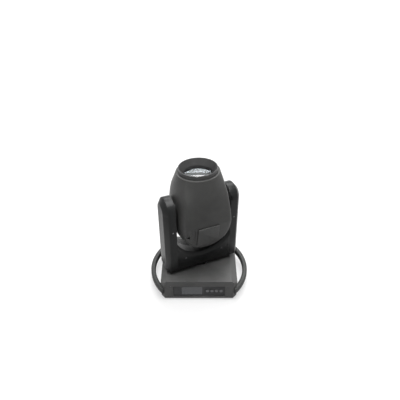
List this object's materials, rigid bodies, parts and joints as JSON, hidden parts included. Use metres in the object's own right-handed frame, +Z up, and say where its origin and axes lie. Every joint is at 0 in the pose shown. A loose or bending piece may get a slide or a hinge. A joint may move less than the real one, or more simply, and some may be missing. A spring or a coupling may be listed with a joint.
{
  "type": "moving head light",
  "caption": "Moving head stage light: low base with two curved carry handles, panning U-shaped yoke, and a tapered tilting head with a recessed round front lens.",
  "frame": {"origin": "on the standing surface, under the pan axis at the middle of the base", "axes": "+Z up along the pan axis, +X along the base's width towards the right handle, -Y towards the display side; at rest the yoke is panned 23 degrees and the head leans back 4 degrees from straight up"},
  "size_m": [0.312, 0.2128, 0.4255],
  "materials": {
    "moulded_black": "fine moulded grain",
    "painted_steel": "black powder coat",
    "rubber": "matte",
    "bright_steel": "satin",
    "plated_steel": "zinc plated",
    "alloy": "satin",
    "motor_black": "satin",
    "board": "solder mask",
    "lens_glass": "coated",
    "screen": "gloss",
    "filter_glass": "dichroic",
    "button_grey": "matte",
    "socket_blue": "matte",
    "socket_grey": "matte",
    "socket_metal": "satin nickel"
  },
  "bodies": {
    "base": {"base_tray": "painted_steel", "base_cover": "moulded_black", "front_panel": "moulded_black", "display": "screen", "rear_panel": "moulded_black", "power_inlet": "socket_blue", "power_outlet": "socket_grey", "data_inlet": "socket_metal", "data_outlet": "socket_metal", "handle_left": "moulded_black", "handle_right": "moulded_black", "feet": "rubber", "power_supply": "plated_steel", "control_board": "board", "pan_bridge": "plated_steel", "pan_bearing": "bright_steel", "pan_motor": "motor_black", "pan_belt": "rubber", "base_screws": "bright_steel"},
    "button_menu": {"button_menu": "button_grey"},
    "button_up": {"button_up": "button_grey"},
    "button_down": {"button_down": "button_grey"},
    "button_enter": {"button_enter": "button_grey"},
    "pan_pinion": {"pan_pinion": "bright_steel"},
    "yoke": {"pan_spindle": "alloy", "pan_pulley": "alloy", "yoke_frame": "painted_steel", "arm_cover_left": "moulded_black", "arm_cover_right": "moulded_black", "yoke_cover_front": "moulded_black", "yoke_cover_rear": "moulded_black", "tilt_motor": "motor_black", "tilt_belt": "rubber", "tilt_bearings": "bright_steel", "yoke_screws": "bright_steel"},
    "tilt_pinion": {"tilt_pinion": "bright_steel"},
    "head": {"head_shell_front": "moulded_black", "head_shell_rear": "moulded_black", "bezel": "moulded_black", "front_lens": "lens_glass", "cover_plate": "moulded_black", "head_chassis": "plated_steel", "trunnions": "alloy", "tilt_pulley": "alloy", "heatsink": "alloy", "light_engine": "board", "condenser": "lens_glass", "optics_frame": "plated_steel", "colour_motor": "motor_black", "gobo_motor": "motor_black", "focus_motor": "motor_black", "guide_rods": "bright_steel", "head_fan": "moulded_black"},
    "fan_rotor": {"fan_rotor": "moulded_black"},
    "colour_wheel": {"colour_wheel": "alloy", "colour_filters": "filter_glass"},
    "gobo_wheel": {"gobo_wheel": "alloy"},
    "focus_carriage": {"focus_carriage": "alloy", "focus_lens": "lens_glass"},
    "focus_screw": {"focus_screw": "bright_steel"}
  },
  "joints": [
    {"name": "pan", "type": "hinge", "parent": "base", "child": "yoke", "pos_m": [0, 0, 0.08], "axis": [0, 0, 1], "range_deg": [-293, 247]},
    {"name": "tilt", "type": "hinge", "parent": "yoke", "child": "head", "pos_m": [0, 0, 0.308], "axis": [0.9205, 0.3907, 0], "range_deg": [-131, 139]},
    {"name": "pan_motor_spin", "type": "hinge", "parent": "base", "child": "pan_pinion", "pos_m": [0.08, 0, 0.06], "axis": [0, 0, 1], "range_deg": [-1368.33, 1153.67]},
    {"name": "tilt_motor_spin", "type": "hinge", "parent": "yoke", "child": "tilt_pinion", "pos_m": [0.09205, 0.03907, 0.126], "axis": [0.9205, 0.3907, 0], "range_deg": [-459.5, 487.5]},
    {"name": "fan_spin", "type": "hinge", "parent": "head", "child": "fan_rotor", "pos_m": [0.00273, -0.00642, 0.20824], "axis": [-0.0273, 0.0642, 0.9976], "continuous": true},
    {"name": "colour_spin", "type": "hinge", "parent": "head", "child": "colour_wheel", "pos_m": [-0.00974, 0.02295, 0.26315], "axis": [-0.0273, 0.0642, 0.9976], "continuous": true},
    {"name": "gobo_spin", "type": "hinge", "parent": "head", "child": "gobo_wheel", "pos_m": [0.01187, -0.02796, 0.27504], "axis": [-0.0273, 0.0642, 0.9976], "continuous": true},
    {"name": "focus", "type": "slide", "parent": "head", "child": "focus_carriage", "axis": [-0.0273, 0.0642, 0.9976], "range_m": [-0.03, 0.03]},
    {"name": "focus_screw_spin", "type": "hinge", "parent": "head", "child": "focus_screw", "pos_m": [-0.01965, -0.04584, 0.33046], "axis": [-0.0273, 0.0642, 0.9976], "range_deg": [-1360, 1360]},
    {"name": "press_menu", "type": "slide", "parent": "base", "child": "button_menu", "axis": [0, 1, 0], "range_m": [0, 0.001], "stiffness_N_per_m": 300, "springref_m": -0.001},
    {"name": "press_up", "type": "slide", "parent": "base", "child": "button_up", "axis": [0, 1, 0], "range_m": [0, 0.001], "stiffness_N_per_m": 300, "springref_m": -0.001},
    {"name": "press_down", "type": "slide", "parent": "base", "child": "button_down", "axis": [0, 1, 0], "range_m": [0, 0.001], "stiffness_N_per_m": 300, "springref_m": -0.001},
    {"name": "press_enter", "type": "slide", "parent": "base", "child": "button_enter", "axis": [0, 1, 0], "range_m": [0, 0.001], "stiffness_N_per_m": 300, "springref_m": -0.001}
  ],
  "couplings": [
    {"joint": "pan_motor_spin", "follows": "pan", "ratio": 4.6667},
    {"joint": "tilt_motor_spin", "follows": "tilt", "ratio": 3.5},
    {"joint": "focus_screw_spin", "follows": "focus", "rad_per_m": -785.4}
  ]
}
